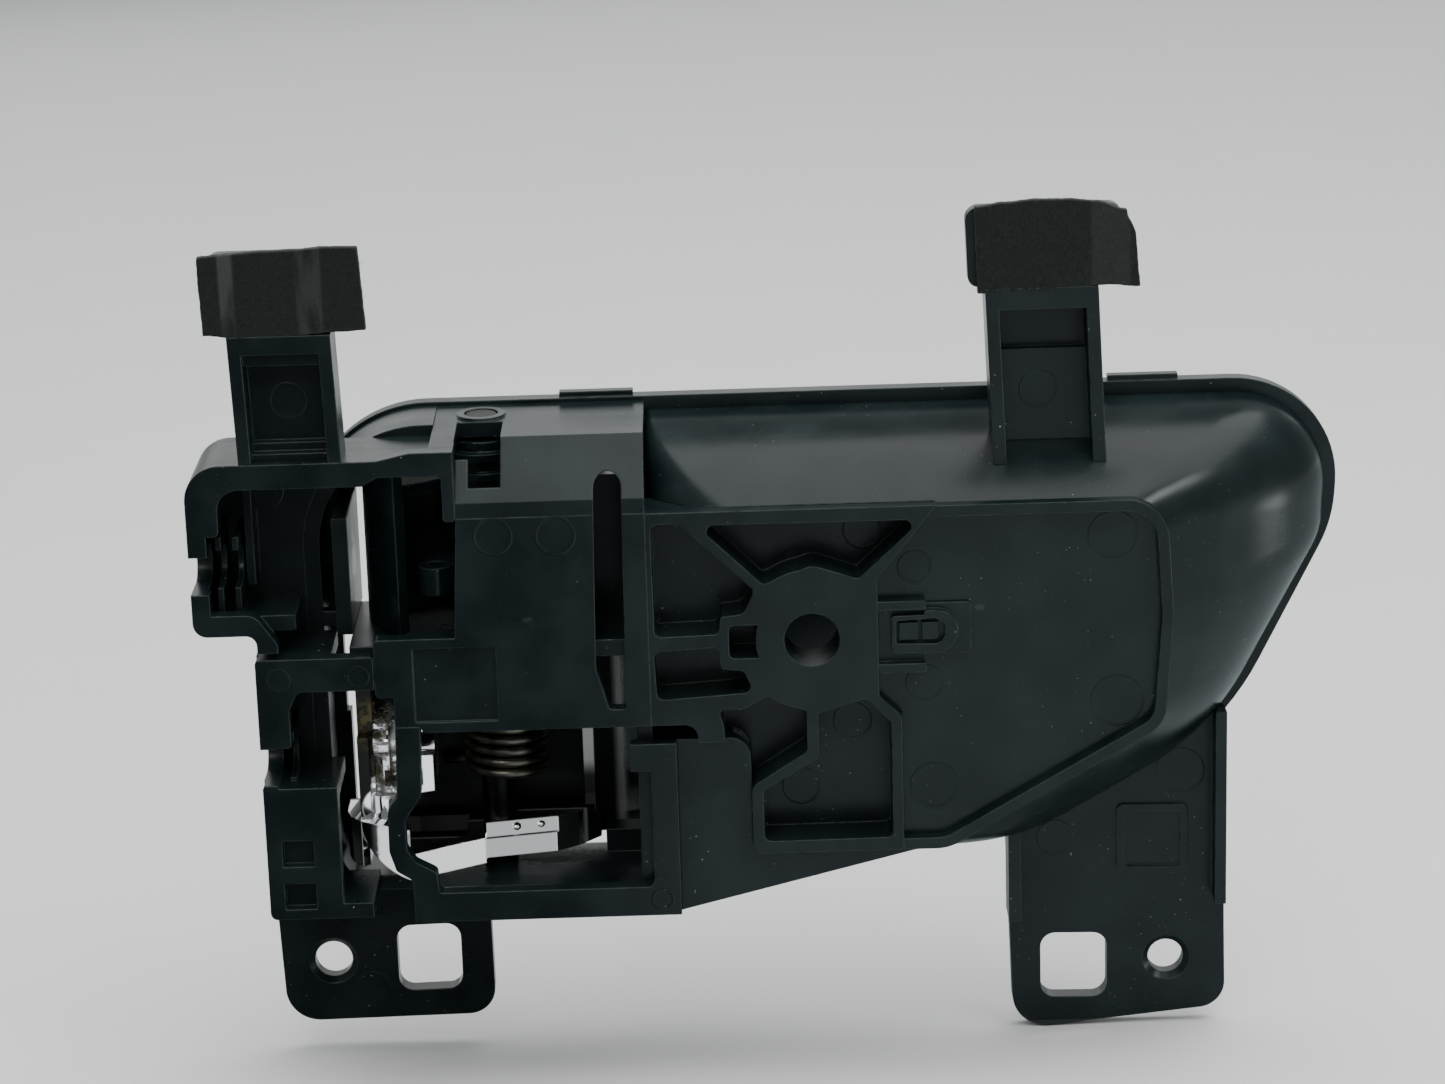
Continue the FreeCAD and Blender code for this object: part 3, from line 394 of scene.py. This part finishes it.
def feltPad(node, seed):
    data = pads[node]
    low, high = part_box(node)
    random.seed(seed)
    bm = bmesh.new()
    bmesh.ops.create_grid(bm, x_segments=pads["columns"], y_segments=pads["rows"], size=0.5)
    for vertex in bm.verts:
        u, w = vertex.co.x + 0.5, vertex.co.y + 0.5
        left = low.x + alongEdge(data["left"], w) * mm
        right = high.x + alongEdge(data["right"], w) * mm
        bottom = low.z + alongEdge(data["bottom"], u) * mm
        top = high.z + alongEdge(data["top"], u) * mm
        vertex.co = (left + (right - left) * u, low.y, bottom + (top - bottom) * w)
    back = bmesh.ops.extrude_face_region(bm, geom=bm.faces[:])["geom"]
    backVerts = [part for part in back if isinstance(part, bmesh.types.BMVert)]
    bmesh.ops.translate(bm, verts=backVerts, vec=(0, high.y - low.y, 0))
    bm.normal_update()
    for vertex in bm.verts:
        place = vertex.co / mm
        rim = vertex.normal.x ** 2 + vertex.normal.z ** 2
        swell = noise.noise(place * 1.1 + Vector((seed, 0, 0))) * pads["ragged"]
        fuzz = noise.noise(place * 4.5 + Vector((0, seed, 0))) * pads["fuzz"]
        vertex.co += vertex.normal * (swell * (0.3 + rim) + fuzz) * mm
    strands(bm, [face for face in bm.faces if face.normal.y < 0.5])
    piece = newPiece(node + "_cloth", bm, data["finish"], "housing")
    for face in piece.data.polygons:
        face.use_smooth = True
    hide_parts(node)
    return piece


def strands(bm, faces):
    # loose fibres that stand off the surface at a low angle
    for face in random.sample(faces, pads["strands"]):
        lean = Vector((random.uniform(-1, 1), random.uniform(-0.35, 0.0), random.uniform(-1, 1))).normalized()
        length = random.uniform(*pads["strandLength"]) * mm
        turn = lean.to_track_quat("Z", "X").to_matrix().to_4x4()
        place = Matrix.Translation(face.calc_center_median() + lean * length * 0.35) @ turn
        bmesh.ops.create_cone(bm, segments=3, radius1=pads["strandRadius"] * mm,
                              radius2=pads["strandRadius"] * 0.3 * mm, depth=length, matrix=place, cap_ends=True)


feltPad("felt_pad_left", 3)
feltPad("felt_pad_right", 8)
print("felt pads made")


# faint round marks of the mould's ejector pins: x, z, radius in mm on a plane y
ejectors = {
    "proud": 0.06, "ring": 0.22,
    "planes": {
        0.0: [(-43.6, 16.3, 2.8), (-35.0, 16.2, 2.9), (-74.3, -3.6, 1.8), (-63.2, -3.4, 1.7), (-21.9, -37.8, 1.7)],
        1.8: [(14.5, 9.6, 2.5), (15.7, -7.4, 2.8), (42.0, 13.3, 3.6), (42.5, -10.8, 3.8), (16.8, -22.6, 3.5)],
        5.0: [(-71.1, 35.2, 2.7)],
        6.5: [(-1.8, -23.7, 2.8), (7.5, 13.8, 2.8), (5.6, -14.2, 2.8)],
        11.4: [(32.6, 32.0, 2.8)],
        13.2: [(-76.4, 20.3, 3.1)],
        20.0: [(-65.6, -58.5, 2.9), (35.3, -37.9, 2.8), (53.5, -28.1, 3.6), (45.9, -62.3, 3.3)],
    },
}


def ejectorMarks():
    bm = bmesh.new()
    for plane, marks in ejectors["planes"].items():
        for x, z, radius in marks:
            place = Matrix.Translation(Vector((x, plane, z)) * mm) @ Matrix.Rotation(math.pi / 2, 4, "X")
            made = bmesh.ops.create_circle(bm, cap_ends=True, radius=radius * mm, segments=48, matrix=place)
            face = made["verts"][0].link_faces[0]
            bmesh.ops.inset_individual(bm, faces=[face], thickness=ejectors["ring"] * mm,
                                       depth=ejectors["proud"] * mm)
            bmesh.ops.inset_individual(bm, faces=[face], thickness=ejectors["ring"] * mm,
                                       depth=-ejectors["proud"] * 0.8 * mm)
    return newPiece("ejectorMarks", bm, housingFinish, "housing")


ejectorMarks()
print("ejector marks made")


view = {"place": (-0.01199, -0.52779, 0.17090), "down": 16.5, "roll": 1.75, "lens": 99.65}
light = {
    "world": 0.20, "worldColour": (0.92, 0.98, 1.0),
    # place, point aimed at, size and power
    "topSoftbox": {"place": (0.25, 0.05, 0.80), "aim": (0, 0, 0), "size": (1.0, 0.9), "energy": 4.2},
    "roomFill": {"place": (0.05, -0.1, 0.90), "aim": (0, 0, 0), "size": (1.3, 1.3), "energy": 16.5, "mirrored": False},
    "backSoftbox": {"place": (-0.25, 1.0, 0.33), "aim": (0, 0, 0), "size": (2.8, 0.50), "energy": 4.0},
    "shoulderLamp": {"place": (0.55, -0.45, 0.50), "aim": (0, 0, 0), "size": (0.22, 0.16), "energy": 0.8},
    "kneeLamp": {"place": (-0.25, -0.75, 0.55), "aim": (0, 0, 0), "size": (0.5, 0.3), "energy": 1.2},
    "sideGlint": {"place": (0.36, -0.035, -0.052), "aim": (0.0645, 0.0099, 0.0136), "size": (0.045, 0.04),
                  "energy": 0.045},
    # the pale cloth as the bright plating sees it
    "clothGlow": {"place": (0.24, -0.31, -0.066), "aim": (0.24, -0.31, 1.0), "size": (0.72, 0.60), "energy": 1.3,
                  "only": ("lever_bracket", "lever_cable_arm")},
    # the room as its knuckle sees it
    "roomGlowLeft": {"place": (-0.55, -0.35, 0.18), "aim": (-0.55, 0.0, 0.18), "size": (0.8, 0.32), "energy": 0.76,
                     "only": ("lever_bracket",)},
    "roomGlowMiddle": {"place": (0.0, -0.35, 0.18), "aim": (0.0, 0.0, 0.18), "size": (0.3, 0.32), "energy": 0.12,
                       "only": ("lever_bracket",)},
    "roomGlowRight": {"place": (0.55, -0.35, 0.18), "aim": (0.55, 0.0, 0.18), "size": (0.8, 0.32), "energy": 0.80,
                      "only": ("lever_bracket",)},
}
darkCards = [
    {"x": (-1.6, -0.030), "y": (-1.8, 0.018), "colour": (0.016, 0.023, 0.025)},
    {"x": (-0.030, 0.75), "y": (-1.8, 0.45), "colour": (0.26, 0.30, 0.31)},
]


def setCamera():
    data = bpy.data.cameras.new("camera")
    data.lens, data.sensor_width = view["lens"], 36
    camera = bpy.data.objects.new("camera", data)
    bpy.context.scene.collection.objects.link(camera)
    turn = Matrix.Rotation(math.radians(90 - view["down"]), 4, "X") @ Matrix.Rotation(
        math.radians(-view["roll"]), 4, "Z")
    camera.matrix_world = Matrix.Translation(view["place"]) @ turn
    bpy.context.scene.camera = camera


def softbox(name):
    setting = light[name]
    data = bpy.data.lights.new(name, "AREA")
    data.shape, data.size, data.size_y, data.energy = "RECTANGLE", *setting["size"], setting["energy"]
    lamp = bpy.data.objects.new(name, data)
    bpy.context.scene.collection.objects.link(lamp)
    lamp.location = setting["place"]
    toward = Vector(setting["aim"]) - Vector(setting["place"])
    lamp.rotation_euler = toward.to_track_quat("-Z", "Y").to_euler()
    lamp.visible_camera = False
    lamp.visible_glossy = setting.get("mirrored", True)
    if "only" in setting:
        lit = bpy.data.collections.new(name)
        for node in setting["only"]:
            lit.objects.link(nodes[node])
        lamp.light_linking.receiver_collection = lit


def stagePlane(name, x, y, z, finish):
    bm = bmesh.new()
    centre = Matrix.Translation(((x[0] + x[1]) / 2, (y[0] + y[1]) / 2, z))
    bmesh.ops.create_grid(bm, x_segments=1, y_segments=1, size=0.5,
                          matrix=centre @ Matrix.Diagonal((x[1] - x[0], y[1] - y[0], 1, 1)))
    mesh = bpy.data.meshes.new(name)
    bm.to_mesh(mesh)
    bm.free()
    plane = bpy.data.objects.new(name, mesh)
    bpy.context.scene.collection.objects.link(plane)
    mesh.materials.append(finish.material)
    return plane


def setStage():
    ground = cadBox[0][2] - 0.2 * mm
    pale = Finish("paleFloor", None, Roughness=0.7)
    pale.drive(Base_Color=pale.mix(pale.noise(0.03, 2), (0.70, 0.71, 0.70), (0.73, 0.74, 0.73)))
    stagePlane("floor", (-6, 6), (-6, 6), ground, pale)
    # dark cards that only show in reflections
    for i, card in enumerate(darkCards):
        finish = Finish("darkCard" + str(i), None, Roughness=0.9, Base_Color=(*card["colour"], 1))
        shade = stagePlane("darkCard" + str(i), card["x"], card["y"], ground + 1 * mm, finish)
        shade.visible_camera = shade.visible_diffuse = shade.visible_shadow = False
    world = bpy.data.worlds.new("world")
    bpy.context.scene.world = world
    world.use_nodes = True
    world.node_tree.nodes["Background"].inputs["Color"].default_value = (*light["worldColour"], 1)
    world.node_tree.nodes["Background"].inputs["Strength"].default_value = light["world"]
    for name in list(light)[2:]:
        softbox(name)


setCamera()
setStage()
print("camera and stage set")
